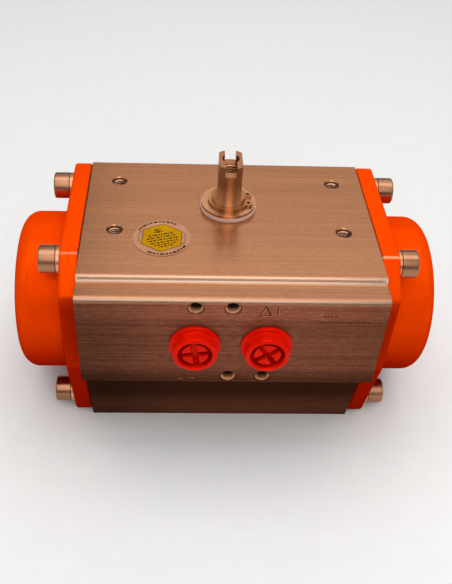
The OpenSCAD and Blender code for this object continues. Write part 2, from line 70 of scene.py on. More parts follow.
def make_camera():
    """Looks down at the port side from a little to the left."""
    data = bpy.data.cameras.new("camera")
    data.sensor_width = 36
    data.lens = 47.44
    data.shift_x = 0.036
    camera = bpy.data.objects.new("camera", data)
    bpy.context.scene.collection.objects.link(camera)
    yaw, pitch, roll = math.radians(-3.04), math.radians(41.79), math.radians(2.72)
    tilt = Matrix.Rotation(math.pi / 2 - pitch, 4, "X")
    turn = Matrix.Rotation(yaw, 4, "Z") @ tilt @ Matrix.Rotation(roll, 4, "Z")
    camera.matrix_world = Matrix.Translation((-18.96 * MM, -228.4 * MM, 244.4 * MM)) @ turn
    data.clip_start = 0.01
    bpy.context.scene.camera = camera


def softbox(name, azimuth, elevation, distance, size, power):
    """A soft area light that looks at the part. Azimuth 0 is in front, on the -Y side."""
    data = bpy.data.lights.new(name, "AREA")
    data.shape = "RECTANGLE"
    data.size, data.size_y = size
    data.energy = power
    light = bpy.data.objects.new(name, data)
    bpy.context.scene.collection.objects.link(light)
    a, e = math.radians(azimuth), math.radians(elevation)
    back = Vector((math.sin(a) * math.cos(e), -math.cos(a) * math.cos(e), math.sin(e)))
    target = Vector((0, 0, AXIS_Z))
    light.matrix_world = Matrix.Translation(target + back * distance) @ facing(back)


def make_studio():
    scene = bpy.context.scene
    scene.view_settings.view_transform = "Standard"
    world = bpy.data.worlds.new("studio")
    world.use_nodes = True
    sky = world.node_tree.nodes["Background"]
    sky.inputs["Color"].default_value = (1.0, 0.985, 0.965, 1)
    sky.inputs["Strength"].default_value = 0.22
    scene.world = world
    softbox("overhead", 168.5, 48, 1.0, (0.66, 0.64), 1.4)
    softbox("ceiling", 180, 86, 1.0, (1.2, 0.6), 5.2)
    softbox("front", 3, 50, 0.9, (0.5, 0.8), 3.3)
    softbox("side_left", -75, 40, 1.0, (0.6, 0.6), 0.9)
    softbox("side_right", 75, 40, 1.0, (0.6, 0.6), 1.0)
    bm = bmesh.new()
    bmesh.ops.create_grid(bm, x_segments=8, y_segments=8, size=2.5)
    floor = new_piece("floor", bm, floor_material())


# ---------- mesh helpers ----------

def facing(direction):
    """Turns local +Z to a direction."""
    return direction.to_track_quat("Z", "Y").to_matrix().to_4x4()


def polar(radius, angle):
    """A point of a circle round the origin."""
    return radius * math.cos(angle), radius * math.sin(angle)


def full_turn(count):
    """Angles of equal steps round a circle, in radians."""
    return [2 * math.pi * k / count for k in range(count)]


def rounding(radius, steps):
    """Pairs that round off an edge: the first falls from the radius to 0, the second rises to it."""
    angles = [math.pi / 2 * k / steps for k in range(steps + 1)]
    return [(radius * (1 - math.sin(t)), radius * (1 - math.cos(t))) for t in angles]



def new_piece(name, bm, material, smooth_angle=35):
    """Turns a bmesh into an object with one material, smooth but for edges over smooth_angle degrees."""
    mesh = bpy.data.meshes.new(name)
    bmesh.ops.recalc_face_normals(bm, faces=bm.faces)
    bm.to_mesh(mesh)
    bm.free()
    mesh.materials.append(material)
    mesh.polygons.foreach_set("use_smooth", [True] * len(mesh.polygons))
    mesh.set_sharp_from_angle(angle=math.radians(smooth_angle))
    piece = bpy.data.objects.new(name, mesh)
    bpy.context.scene.collection.objects.link(piece)
    return piece


def loft(bm, rings, closed=False):
    """Joins equal rings of points into a tube, with end faces unless it closes on itself."""
    made = [[bm.verts.new(p) for p in ring] for ring in rings]
    count = len(made[0])
    pairs = list(zip(made, made[1:]))
    if closed:
        pairs.append((made[-1], made[0]))
    for near, far in pairs:
        for k in range(count):
            after = (k + 1) % count
            bm.faces.new((near[k], near[after], far[after], far[k]))
    if not closed:
        bm.faces.new(made[0][::-1])
        bm.faces.new(made[-1])


def slab(bm, outline, place, height):
    """A flat plate: outline in the local XY plane, rising by height along local +Z."""
    loft(bm, [[place @ Vector((x, y, z)) for x, y in outline] for z in (0, height)])


def bar(length, width, centre=(0, 0), turn=0.0):
    """Outline of a small bar, for slab()."""
    c, s = polar(1, turn)
    x, y = length / 2, width / 2
    corners = ((-x, -y), (x, -y), (x, y), (-x, y))
    return [(centre[0] + x * c - y * s, centre[1] + x * s + y * c) for x, y in corners]


def place_piece(piece, body, slot, *nodes):
    """Makes a piece ride on a body, and makes it stand for CAD nodes if there are any; slot is not used."""
    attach(piece, body)
    if nodes:
        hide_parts(*nodes)


def soften(piece):
    """Keeps flat faces flat next to their rounded edges."""
    normals = piece.modifiers.new("normals", "WEIGHTED_NORMAL")
    normals.keep_sharp = True


def carve(piece, bm, operation):
    """Cuts or joins a second mesh, and keeps only the result."""
    tool = new_piece("tool", bm, piece.data.materials[0])
    step = piece.modifiers.new("carve", "BOOLEAN")
    step.operation = operation
    step.solver = "EXACT"
    step.object = tool
    bpy.context.view_layer.update()
    graph = bpy.context.evaluated_depsgraph_get()
    result = bpy.data.meshes.new_from_object(piece.evaluated_get(graph))
    piece.modifiers.clear()
    bpy.data.objects.remove(tool)
    piece.data = result


# ---------- materials ----------

class Shader:
    """A material in the making: short names for the few nodes that these materials use."""

    def __init__(self, name, **constants):
        self.material = bpy.data.materials.new(name)
        self.material.use_nodes = True
        self.tree = self.material.node_tree
        self.surface = self.tree.nodes["Principled BSDF"]
        for socket, value in constants.items():
            self.surface.inputs[socket.replace("_", " ")].default_value = value
        self.where = self.node("ShaderNodeTexCoord")

    def node(self, kind, **inputs):
        made = self.tree.nodes.new(kind)
        for socket, value in inputs.items():
            self.put(value, made.inputs[socket.replace("_", " ")])
        return made

    def put(self, value, socket):
        if isinstance(value, bpy.types.NodeSocket):
            self.tree.links.new(value, socket)
        else:
            socket.default_value = value

    def noise(self, stretch, detail=3.0, roughness=0.55, distortion=0.0):
        """Noise whose lumps are 1 / stretch metres long on each axis."""
        scale = stretch if isinstance(stretch, tuple) else (stretch,) * 3
        placed = self.node("ShaderNodeMapping", Vector=self.where.outputs["Object"], Scale=scale)
        return self.node("ShaderNodeTexNoise", Vector=placed.outputs[0], Scale=1.0, Detail=detail,
                         Roughness=roughness, Distortion=distortion).outputs["Fac"]

    def math(self, operation, a, b):
        made = self.tree.nodes.new("ShaderNodeMath")
        made.operation = operation
        self.put(a, made.inputs[0])
        self.put(b, made.inputs[1])
        return made.outputs[0]

    def times(self, *values):
        product = values[0]
        for value in values[1:]:
            product = self.math("MULTIPLY", product, value)
        return product

    def blend(self, *shares):
        """The sum of values times their shares."""
        total = 0.0
        for value, share in shares:
            total = self.math("ADD", total, self.math("MULTIPLY", value, share))
        return total

    def split(self, kind):
        """X, Y and Z of where a point is on the object, or of the way that its surface faces ("Normal")."""
        made = self.node("ShaderNodeSeparateXYZ", Vector=self.where.outputs[kind])
        return made.outputs["X"], made.outputs["Y"], made.outputs["Z"]

    def range(self, value, low, high, to_low, to_high):
        """A soft step from to_low at low to to_high at high."""
        made = self.node("ShaderNodeMapRange", Value=value, From_Min=low, From_Max=high,
                         To_Min=to_low, To_Max=to_high)
        made.interpolation_type = "SMOOTHSTEP"
        return made.outputs["Result"]

    def ramp(self, value, *stops):
        made = self.node("ShaderNodeValToRGB", Fac=value)
        points = made.color_ramp.elements
        while len(points) < len(stops):
            points.new(0.5)
        for point, (position, colour) in zip(points, stops):
            point.position = position
            point.color = (*colour, 1)
        return made.outputs["Color"]

    def mix(self, share, first, second):
        """From the first colour at share 0 to the second at share 1."""
        made = self.tree.nodes.new("ShaderNodeMix")
        made.data_type = "RGBA"
        sockets = [socket for socket in made.inputs if socket.type == "RGBA"]
        self.put(share, made.inputs["Factor"])
        for colour, socket in zip((first, second), sockets):
            self.put((*colour, 1.0) if isinstance(colour, tuple) else colour, socket)
        return next(socket for socket in made.outputs if socket.type == "RGBA")

    def hollows(self, reach):
        """1 in the open, less in corners and recesses."""
        made = self.node("ShaderNodeAmbientOcclusion", Distance=reach)
        made.samples = 8
        return made.outputs["AO"]

    def dim(self, colour, share):
        """The colour times a grey share."""
        made = self.tree.nodes.new("ShaderNodeVectorMath")
        made.operation = "SCALE"
        self.put(colour, made.inputs[0])
        self.put(share, made.inputs["Scale"])
        return made.outputs[0]

    def finish(self, colour, roughness, height, depth, strength=1.0, edge=0.0):
        """Sets base colour, roughness and a bump of that depth in metres; edge softens sharp CAD edges."""
        self.put(colour, self.surface.inputs["Base Color"])
        self.put(roughness, self.surface.inputs["Roughness"])
        bump = self.node("ShaderNodeBump", Height=height, Distance=depth, Strength=strength)
        if edge:
            soft = self.node("ShaderNodeBevel", Radius=edge)
            self.put(soft.outputs[0], bump.inputs["Normal"])
        self.put(bump.outputs[0], self.surface.inputs["Normal"])
        return self.material


def floor_material():
    s = Shader("studio_floor")
    speckle = s.noise(120.0)
    tone = s.ramp(speckle, (0.2, (0.87, 0.87, 0.865)), (0.8, (0.90, 0.90, 0.895)))
    return s.finish(tone, 0.75, speckle, 0.0001, 0.1)


def streaky(s, streak, dark, middle, light):
    """Three tones of brushed metal."""
    return s.ramp(streak, (0.36, dark), (0.50, middle), (0.64, light))


def shaded_port_face_tone(s, streak):
    """Painted shade and light on the port face: darker than the top, dim at its ends, paler near its top
    edge, with small bright flecks.
    """
    along, _, height = s.split("Object")
    face = streaky(s, streak, (0.110, 0.035, 0.019), (0.175, 0.058, 0.032), (0.265, 0.096, 0.055))
    fleck = s.noise((260.0, 5200.0, 5200.0), 1.0)
    face = s.mix(s.range(fleck, 0.60, 0.72, 0.0, 0.30), face, (0.50, 0.26, 0.18))
    # Painted light and shade: dimmer at both ends, paler near the top edge.
    left = s.range(along, -50 * MM, -12 * MM, 0.72, 1.30)
    right = s.range(along, 15 * MM, 52 * MM, 1.0, 0.80)
    upper_light = s.range(height, PORT_TOP - 7.9 * MM, PORT_TOP - 3.9 * MM, 1.0, 1.30)
    return s.dim(face, s.times(left, right, upper_light))


def paint_step_highlight(s, tone, front):
    """Painted highlight on the step over the ports: pale metal on its riser and the rounded edge of its
    shelf.
    """
    height, upward = s.split("Object")[2], s.split("Normal")[2]
    on_riser = s.range(height, SHELF_Z - 0.4 * MM, SHELF_Z + 0.2 * MM, 0.0, 1.0)
    on_edge = s.times(s.range(upward, 0.15, 0.55, 0.0, 1.0),
                      s.range(height, PORT_TOP - 0.4 * MM, PORT_TOP + 0.6 * MM, 0.0, 1.0))
    # Share of the painted highlight.
    highlight_share = s.times(s.range(upward, 0.80, 0.97, 1.0, 0.0), s.math("MAXIMUM", on_riser, on_edge))
    riser = s.times(s.range(upward, 0.3, 0.8, 1.0, 0.0), on_riser)
    bright = s.mix(riser, (0.39, 0.25, 0.175), (0.98, 0.81, 0.64))
    return s.mix(s.times(highlight_share, front, 0.85), tone, bright)


def front_shade(s, front):
    """Share of painted shade and light on the front: dims it under the ports, paints light on its foot, and
    dims the shelf a little.
    """
    height = s.split("Object")[2]
    under_ports = s.range(height, PORT_LOW + 1.5 * MM, PORT_LOW + 8.0 * MM, 0.46, 1.0)
    under_pad = s.range(height, PORT_LOW - 3.5 * MM, PORT_LOW - 0.5 * MM, 0.44, 1.0)
    foot = s.range(height, 5 * MM, 21 * MM, 3.2, 1.0)
    shelf = s.times(s.range(height, PORT_TOP - 0.6 * MM, PORT_TOP + 0.2 * MM, 1.0, 0.86),
                    s.range(height, SHELF_Z + 0.5 * MM, SHELF_Z + 1.1 * MM, 1.0, 1.163))
    shade = s.times(under_ports, under_pad, foot, shelf)
    return s.math("ADD", s.times(shade, front), s.math("SUBTRACT", 1.0, front))


def brushed_aluminium():
    """Brushed along X, with painted light and shade: a pale top, a darker port face and foot, and a tone
    between them on the back.
    """
    s = Shader("brushed_aluminium", Metallic=1.0, Anisotropic=0.6, Specular_Tint=(0.78, 0.6, 0.5, 1.0))
    hairline = s.noise((10.0, 3600.0, 3600.0), 2.0)
    line = s.noise((14.0, 1500.0, 1500.0), 1.0)
    dash = s.noise((420.0, 3000.0, 3000.0), 1.0)
    grain = s.noise(2200.0, 1.0)
    cloud = s.noise((6.0, 50.0, 50.0), 2.0)
    streak = s.blend((hairline, 0.42), (line, 0.14), (dash, 0.24), (grain, 0.20))
    top = streaky(s, streak, (0.34, 0.148, 0.075), (0.43, 0.195, 0.099), (0.52, 0.247, 0.129))
    back = streaky(s, streak, (0.23, 0.095, 0.052), (0.30, 0.130, 0.072), (0.38, 0.172, 0.098))
    _, across, height = s.split("Object")
    front = s.range(across, -22 * MM, -16 * MM, 1.0, 0.0)
    above = s.range(height, PORT_TOP, PORT_TOP + 1.2 * MM, 0.0, 1.0)
    # Lit and shaded copies of one metal: pale top, darker back, darker port face.
    tone = s.mix(above, s.mix(front, back, shaded_port_face_tone(s, streak)), top)
    # Painted highlight: pale metal on the step's riser and the rounded edge of its shelf.
    tone = paint_step_highlight(s, tone, front)
    # Painted shade and light on the front, times a slow random change of tone.
    tone = s.dim(tone, s.times(front_shade(s, front), s.range(cloud, 0.3, 0.7, 0.93, 1.05)))
    roughness = s.math("ADD", s.range(streak, 0.38, 0.62, 0.28, 0.35), s.range(above, 0.0, 1.0, 0.26, 0.0))
    tangent = s.node("ShaderNodeTangent")
    tangent.direction_type = "RADIAL"
    tangent.axis = "X"
    s.put(tangent.outputs[0], s.surface.inputs["Tangent"])
    return s.finish(tone, roughness, streak, 0.00001, 0.1, edge=0.22 * MM)


def cut_aluminium():
    """Bright threads, cut after the body was finished."""
    s = Shader("cut_aluminium", Metallic=1.0)
    marks = s.noise(300.0, 2.0)
    tone = s.ramp(marks, (0.3, (0.34, 0.17, 0.10)), (0.7, (0.50, 0.28, 0.18)))
    return s.finish(tone, s.range(marks, 0.3, 0.7, 0.26, 0.36), marks, 0.00001, 0.2)


def bored_metal(name, dark, light):
    """Dull wall of a drilled hole, with drill marks, and painted shade that darkens it a little way in."""
    s = Shader(name, Metallic=0.3, Specular_IOR_Level=0.0)
    marks = s.noise((200.0, 2500.0, 200.0), 3.0)
    inward = s.split("Object")[1]
    tone = s.ramp(marks, (0.3, dark), (0.7, light))
    # Painted shade: darker further into the hole.
    tone = s.dim(tone, s.range(inward, PORT_FACE_Y + 0.4 * MM, PORT_FACE_Y + 3.9 * MM, 1.0, 0.03))
    return s.finish(tone, s.range(marks, 0.3, 0.7, 0.35, 0.5), marks, 0.00002, 0.3)


def shade_and_highlight_plate(s, tone):
    """Painted shade low on the caps' plates, and a painted highlight on the corners where their tops slope
    off.
    """
    along, across, height = s.split("Object")
    across = s.math("ABSOLUTE", across, 0.0)
    on_plate = s.range(s.math("ABSOLUTE", along, 0.0), 59.0 * MM, 60.5 * MM, 1.0, 0.0)
    # Painted shade: deeper orange low on the plates.
    low = s.times(on_plate, s.range(height, 64 * MM, 73 * MM, 0.55, 0.0))
    tone = s.mix(low, tone, (0.24, 0.001, 0.0001))
    # Painted highlight on the sloping corners, fainter on the left cap.
    corner = s.times(s.range(across, CAP_SLOPE_Y - 0.7 * MM, CAP_SLOPE_Y, 0.0, 1.0),
                     s.range(across, CAP_SLOPE_Y + 0.1 * MM, CAP_SLOPE_Y + 0.8 * MM, 1.0, 0.0))
    high = s.range(height, CAP_TOP - 1.3 * MM, CAP_TOP - 0.8 * MM, 0.0, 1.0)
    strength = s.range(along, -10 * MM, 10 * MM, 0.35, 0.75)
    return s.mix(s.times(corner, on_plate, high, strength), tone, (1.0, 0.42, 0.20))


def cap_paint():
    """Gloss orange paint with faint orange peel, and painted shade that deepens it on the undersides."""
    s = Shader("orange_paint", Metallic=0.14, Specular_IOR_Level=0.0, Specular_Tint=(0.8, 0.2, 0.02, 1.0))
    peel = s.noise(420.0, 2.0)
    cloud = s.noise(30.0, 3.0)
    speck = s.noise(2400.0, 2.0)
    bright = s.ramp(cloud, (0.3, (0.90, 0.054, 0.0003)), (0.7, (0.98, 0.070, 0.0005)))
    # Painted shade on faces that look down.
    underside_shade = s.range(s.split("Normal")[2], -0.8, 0.75, 1.0, 0.0)
    tone = s.mix(underside_shade, bright, (0.33, 0.005, 0.0002))
    tone = s.dim(tone, s.range(speck, 0.25, 0.45, 0.94, 1.0))
    tone = shade_and_highlight_plate(s, tone)
    return s.finish(tone, s.range(peel, 0.35, 0.65, 0.16, 0.22), peel, 0.00001, 0.10)


def plug_plastic():
    """Moulded red polyethylene, with painted shade in its recess and corners."""
    s = Shader("red_plastic", Metallic=0.1, Specular_IOR_Level=0.1, Specular_Tint=(1.0, 0.35, 0.2, 1.0))
    grain = s.noise(1500.0, 3.0)
    cloud = s.noise(170.0, 3.0)
    tone = s.ramp(cloud, (0.3, (0.70, 0.004, 0.0005)), (0.7, (0.84, 0.011, 0.001)))
    # Painted shade from an occlusion share.
    tone = s.dim(tone, s.range(s.hollows(3.0 * MM), 0.15, 0.75, 0.55, 1.0))
    return s.finish(tone, s.range(cloud, 0.3, 0.7, 0.15, 0.22), grain, 0.00002, 0.12)


def steel_marks(s, stretch):
    """Tool marks, a slow stain, and the two together."""
    marks = s.noise(stretch, 3.0, 0.6)
    stain = s.noise(90.0, 3.0, 0.5)
    return marks, stain, s.blend((marks, 0.25), (stain, 0.75))


def turned_steel(name, dark, light, stretch, roughness=(0.24, 0.42), edge=0.0, highlight_tone=None):
    """Bare metal with tool marks, closest together where stretch is largest. Its sides may be paler, as
    painted light.
    """
    s = Shader(name, Metallic=1.0)
    marks, stain, both = steel_marks(s, stretch)
    tone = s.ramp(both, (0.32, dark), (0.68, light))
    if highlight_tone:
        # Painted light: paler sides.
        tone = s.mix(s.range(s.split("Normal")[2], 0.4, 0.9, 0.6, 0.0), tone, highlight_tone)
    return s.finish(tone, s.range(stain, 0.3, 0.7, *roughness), marks, 0.00002, 0.2, edge)


def pinion_steel():
    """Turned shaft, with painted light and shade: a painted highlight close to the washer, dimmer sides above
    it, and painted shade on its flat tops.
    """
    s = Shader("pinion_steel", Metallic=1.0)
    marks, stain, both = steel_marks(s, (60.0, 60.0, 900.0))
    side = s.ramp(both, (0.32, (0.46, 0.225, 0.112)), (0.68, (0.58, 0.30, 0.155)))
    highlight_tone = s.ramp(both, (0.32, (0.68, 0.46, 0.30)), (0.68, (0.86, 0.60, 0.42)))
    crown_shade = s.ramp(both, (0.32, (0.40, 0.160, 0.066)), (0.68, (0.50, 0.215, 0.095)))
    # Painted highlight close to the washer.
    washer_highlight = s.range(s.split("Object")[2], TOP_Z + 4.5 * MM, TOP_Z + 13.5 * MM, 1.0, 0.0)
    side = s.mix(washer_highlight, s.dim(side, 0.76), highlight_tone)
    # Painted shade on the flat tops.
    tone = s.mix(s.range(s.split("Normal")[2], 0.5, 0.95, 0.0, 1.0), side, crown_shade)
    return s.finish(tone, s.range(stain, 0.3, 0.7, 0.34, 0.44), marks, 0.00002, 0.2, 0.15 * MM)


def dull_plastic(name, dark, light, roughness=(0.4, 0.55), grain=1800.0):
    """Plastic, rubber, foil or ink: fine grain and a slow change of tone."""
    s = Shader(name, Specular_IOR_Level=0.03)
    fine = s.noise(grain, 3.0)
    cloud = s.noise(150.0, 3.0)
    tone = s.ramp(cloud, (0.3, dark), (0.7, light))
    return s.finish(tone, s.range(fine, 0.3, 0.7, *roughness), fine, 0.00004, 0.3)


def make_steels():
    """Metals that are turned, cut, wound or cast."""
    fine = (500.0, 500.0, 500.0)
    return {
        "screw_steel": turned_steel("screw_steel", (0.33, 0.150, 0.080), (0.46, 0.229, 0.131),
                                    (700.0, 60.0, 60.0), (0.22, 0.36)),
        "pinion_steel": pinion_steel(),
        "washer_steel": turned_steel("washer_steel", (0.46, 0.215, 0.100), (0.64, 0.32, 0.165), fine,
                                     (0.26, 0.38), 0.15 * MM, (0.78, 0.56, 0.38)),
        "spring_steel": turned_steel("spring_steel", (0.40, 0.18, 0.078), (0.56, 0.27, 0.13),
                                     (700.0, 700.0, 700.0), highlight_tone=(0.52, 0.31, 0.18)),
        "cast_piston": turned_steel("cast_aluminium", (0.36, 0.31, 0.28), (0.52, 0.47, 0.43), fine,
                                    (0.4, 0.6)),
    }


def make_plastics():
    """Plastics, rubbers and the label's foil."""
    return {
        "cap_paint": cap_paint(),
        "plug_plastic": plug_plastic(),
        "thrust_plastic": dull_plastic("thrust_plastic", (0.68, 0.47, 0.38), (0.80, 0.58, 0.48)),
        "bearing_plastic": dull_plastic("bearing_plastic", (0.035, 0.034, 0.036), (0.075, 0.07, 0.068)),
        "seal_rubber": dull_plastic("seal_rubber", (0.012, 0.012, 0.012), (0.028, 0.027, 0.026),
                                    (0.45, 0.65)),
        "gasket": dull_plastic("gasket", (0.016, 0.010, 0.008), (0.035, 0.022, 0.017), (0.6, 0.8)),
        "label_print": dull_plastic("label_foil", (0.43, 0.20, 0.105), (0.52, 0.255, 0.145),
                                    (0.45, 0.6), 2500.0),
    }


def make_materials():
    """The slots' materials, and three more for the walls and threads of holes."""
    body = {
        "anodised_body": brushed_aluminium(),
        "cut_aluminium": cut_aluminium(),
        "bored_metal": bored_metal("bored_metal", (0.24, 0.088, 0.036), (0.38, 0.155, 0.072)),
        # Pale metal for the port face's thread crests and for painted highlights: partly bare metal's own
        # tone, partly painted highlight.
        "thread_crest": bored_metal("thread_crest", (0.66, 0.30, 0.145), (0.92, 0.48, 0.26)),
    }
    return {**body, **make_steels(), **make_plastics()}


# ---------- threads ----------

THREAD_STEPS = 24
THREAD_DEPTH = 7.4 * MM
# Radius and pitch.
M5, M6 = (2.5 * MM, 0.8 * MM), (3.0 * MM, 1.0 * MM)
UP, FRONT, DOWN = Vector((0, 0, 1)), Vector((0, -1, 0)), Vector((0, 0, -1))
PILOT_HOLES = [Vector((x * MM, PORT_FACE_Y, z * MM)) for x, z in ((-12, 76), (0, 76), (0, 44), (12, 44))]
TOP_HOLES = [Vector((sx * 40 * MM, sy * 15 * MM, TOP_Z)) for sx in (-1, 1) for sy in (-1, 1)]


def flange_holes(radius):
    """Four places on the underside, at 45 degrees to X and Y."""
    return [Vector((*polar(radius, math.radians(a)), 0)) for a in (45, 135, 225, 315)]


def add_thread(bm, place, radius, depth, pitch):
    """Helical ridge on the wall of a threaded hole. Local -Z runs down the hole from the top of its wall."""
    rise, fade_steps = 0.54 * pitch, 6
    wall = radius + 0.02 * MM
    section = ((0.0, -0.44), (1.0, -0.08), (1.0, 0.08), (0.0, 0.44))
    steps = int((depth / pitch - 1) * THREAD_STEPS)
    rings = []
    for i in range(steps + 1):
        angle = 2 * math.pi * i / THREAD_STEPS
        fade = min(1.0, (i + 1) / fade_steps, (steps - i + 1) / fade_steps)
        z = -pitch * (0.5 + i / THREAD_STEPS)
        rings.append([place @ Vector((*polar(wall - rise * fade * high, angle), z + along * pitch))
                      for high, along in section])
    loft(bm, rings)


def add_liner(bm, place, radius, mouth, depth):
    """Bare wall of a drilled hole: a thin tube just inside it, that starts a mouth's depth down."""
    outer, inner, lip = radius - 0.01 * MM, radius - 0.03 * MM, 0.05 * MM
    section = ((outer, -mouth), (inner, -mouth - lip), (inner, -depth), (outer, -depth))
    rings = [[place @ Vector((*polar(r, a), z)) for a in full_turn(32)] for r, z in section]
    loft(bm, rings, closed=True)


def make_pilot_walls(material):
    """Bare bores of the four holes in the port face."""
    bm = bmesh.new()
    for spot in PILOT_HOLES:
        add_liner(bm, Matrix.Translation(spot) @ facing(FRONT), M5[0], 0.25 * MM, 6.0 * MM)
    piece = new_piece("pilot_bores", bm, material)
    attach(piece, "housing")


def make_threads(materials):
    """Threads of the body's holes: their places, the way that they open, their size and their mouths."""
    groups = (
        ("top", TOP_HOLES, UP, M5, 0.5 * MM),
        ("pilot", PILOT_HOLES, FRONT, M5, 0.15 * MM),
        ("inner_flange", flange_holes(18 * MM), DOWN, M5, 0.4 * MM),
        ("outer_flange", flange_holes(25 * MM), DOWN, M6, 0.4 * MM),
    )
    for name, places, out, (radius, pitch), mouth in groups:
        bm = bmesh.new()
        for spot in places:
            place = Matrix.Translation(spot - out * mouth) @ facing(out)
            add_thread(bm, place, radius, THREAD_DEPTH - mouth, pitch)
        # The port face's threads are paler, partly as a painted highlight.
        finish = "thread_crest" if name == "pilot" else "cut_aluminium"
        piece = new_piece(name + "_threads", bm, materials[finish])
        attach(piece, "housing")


def make_shaft_thread(material):
    """Thread in the top of the shaft, below the slot across it."""
    slot_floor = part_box("pinion")[1].z - 4 * MM
    radius, pitch = M6
    bm = bmesh.new()
    add_thread(bm, Matrix.Translation((0, 0, slot_floor)), radius, 9.5 * MM, pitch)
    piece = new_piece("shaft_thread", bm, material)
    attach(piece, "pinion_shaft")


# ---------- label and stamped marks ----------

HEXAGON_R = 7.7 * MM


def label_part(name, bm, material):
    piece = new_piece(name, bm, material)
    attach(piece, "housing")


def make_label():
    """The label's yellow hexagon, and all that is printed on the label in dark ink."""
    low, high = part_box("rating_label")
    centre = Vector(((low.x + high.x) / 2, (low.y + high.y) / 2, high.z))
    place = Matrix.Translation(centre) @ Matrix.Rotation(math.radians(-3), 4, "Z")
    yellow = dull_plastic("label_yellow", (0.43, 0.203, 0.0004), (0.53, 0.262, 0.0007), (0.45, 0.6), 2500.0)
    ink = dull_plastic("label_ink", (0.012, 0.006, 0.004), (0.03, 0.014, 0.008), (0.5, 0.6))
    bm = bmesh.new()
    slab(bm, [polar(HEXAGON_R, math.radians(a)) for a in range(30, 390, 60)], place, 0.03 * MM)
    label_part("label_hexagon", bm, yellow)
    bm = bmesh.new()
    print_outlines(bm, place)
    print_rows(bm, place)
    print_rim(bm, place)
    label_part("label_marks", bm, ink)


def print_across(bm, place, length, width, radius, angle, height):
    """A bar at a radius from the label's centre, at right angles to it."""
    slab(bm, bar(length, width, polar(radius, angle), angle + math.pi / 2), place, height)


def print_outlines(bm, place):
    """The hexagon's sides, and an arc beyond the left one and the right one."""
    side = HEXAGON_R * math.cos(math.radians(30))
    for k in range(6):
        print_across(bm, place, HEXAGON_R * 1.01, 0.2 * MM, side, math.radians(60 * k), 0.05 * MM)
    step, arc_r = 4, 8.05 * MM
    for first, last in ((-26, 26), (154, 206)):
        for k in range(first, last, step):
            print_across(bm, place, 0.6 * MM, 0.16 * MM, arc_r, math.radians(k + step / 2), 0.02 * MM)


def print_rows(bm, place):
    """Uneven bars in place of words. Rows in millimetres: place on the label, length, the bars' width."""
    rows = ((4.5, 2.6, 0.75), (3.3, 3.6, 0.75), (1.7, 8.6, 0.62), (0.3, 10.4, 0.62),
            (-1.1, 10.8, 0.62), (-2.5, 9.4, 0.55), (-3.7, 7.6, 0.5), (-4.8, 5.0, 0.5))
    lean, gap, shortest = math.radians(20), 0.38, 0.4
    for height, length, tall in rows:
        x, k = -length / 2, 0
        while x < length / 2 - shortest:
            wide = min(0.75 + 0.45 * math.sin(2.3 * k + 1.7 * height), length / 2 - x)
            spot = Matrix.Rotation(lean, 2) @ Vector((x + wide / 2, height))
            slab(bm, bar(wide * MM, tall * MM, spot * MM, lean), place, 0.06 * MM)
            x += wide + gap
            k += 1


def print_rim(bm, place):
    """Uneven bars beyond the hexagon's far and near corners, each made of three short ones. In degrees."""
    rim_r, gap, parts = 9.0 * MM, 2.8, 3
    for first, last in ((60, 154), (-118, -28)):
        a, k = first, 0
        while a < last:
            wide = 6.5 + 3.0 * math.sin(2.1 * k + first)
            length = rim_r * math.radians(wide) / parts + 0.02 * MM
            for part in range(parts):
                angle = math.radians(a + wide * (part + 0.5) / parts)
                print_across(bm, place, length, 0.72 * MM, rim_r, angle, 0.02 * MM)
            a += wide + gap
            k += 1


def make_port_marks(highlight_material):
    """Plain stamped marks by the ports, with painted highlights along their edges, and two faint rows of
    dashes. In millimetres.
    """
    groove = turned_steel("stamped_line", (0.020, 0.007, 0.004), (0.06, 0.025, 0.014), (900.0, 900.0, 900.0))
    left, peak, right = (8.7, 73.3), (10.6, 77.3), (12.5, 73.3)
    lines = [(left, peak), (peak, right), (right, left), ((14.6, 73.4), (14.6, 77.2)),
             ((-17.6, 43.2), (-15.8, 43.2)), ((-13.8, 43.5), (-12.0, 43.5))]
    stamp_lines("port_marks", groove, lines, 0.34, 0.02 * MM)
    dash, pitch = 0.75, 1.2
    rows = ((73.2, 29.6, 4), (70.7, 29.0, 14))
    faint = [((start + pitch * k, z), (start + pitch * k + dash, z))
             for z, start, count in rows for k in range(count)]
    stamp_lines("rating_marks", groove, faint, 0.48, 0.01 * MM)
    # Painted highlights: pale lines just below and to the right of each mark.
    off = 0.22
    lit = [((x0 + off, z0 - off), (x1 + off, z1 - off)) for (x0, z0), (x1, z1) in lines]
    stamp_lines("port_mark_highlights", highlight_material, lit, 0.12, 0.01 * MM)


def stamp_lines(name, material, lines, width, height):
    """Straight lines on the port face, with their ends and width in millimetres."""
    face = Matrix.Translation((0, PORT_FACE_Y, 0)) @ Matrix.Rotation(math.pi / 2, 4, "X")
    bm = bmesh.new()
    for start, end in lines:
        run = Vector(end) - Vector(start)
        middle = (Vector(start) + Vector(end)) / 2 * MM
        slab(bm, bar(run.length * MM, width * MM, middle, math.atan2(run.y, run.x)), face, height)
    piece = new_piece(name, bm, material)
    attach(piece, "housing")


# ---------- end caps, screws, washers and plugs: all sizes in millimetres ----------

PLATE_T = 6.4
SCREW_HEAD = (5.0, 6.0)
WASHER_T = 1.6
AXIS = (0, AXIS_Z / MM)
SPRING_PLACES = [(sy * 10.5, AXIS[1] + sz * 10.5) for sy in (-1, 1) for sz in (-1, 1)]


def around(sign, x, radius, angle, centre):
    """A point at a radius and an angle round a line along X, that runs through centre (Y, Z)."""
    y, z = polar(radius, angle)
    return Vector((sign * x, centre[0] + y, centre[1] + z)) * MM


def cap_side(side):
    """Sign of a cap's side and the X of its two ends, as if it were the right one."""
    low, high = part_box("end_cap_" + side)
    sign = 1 if side == "right" else -1
    x0, x1 = sorted((abs(low.x) / MM, abs(high.x) / MM))
    return sign, x0, x1


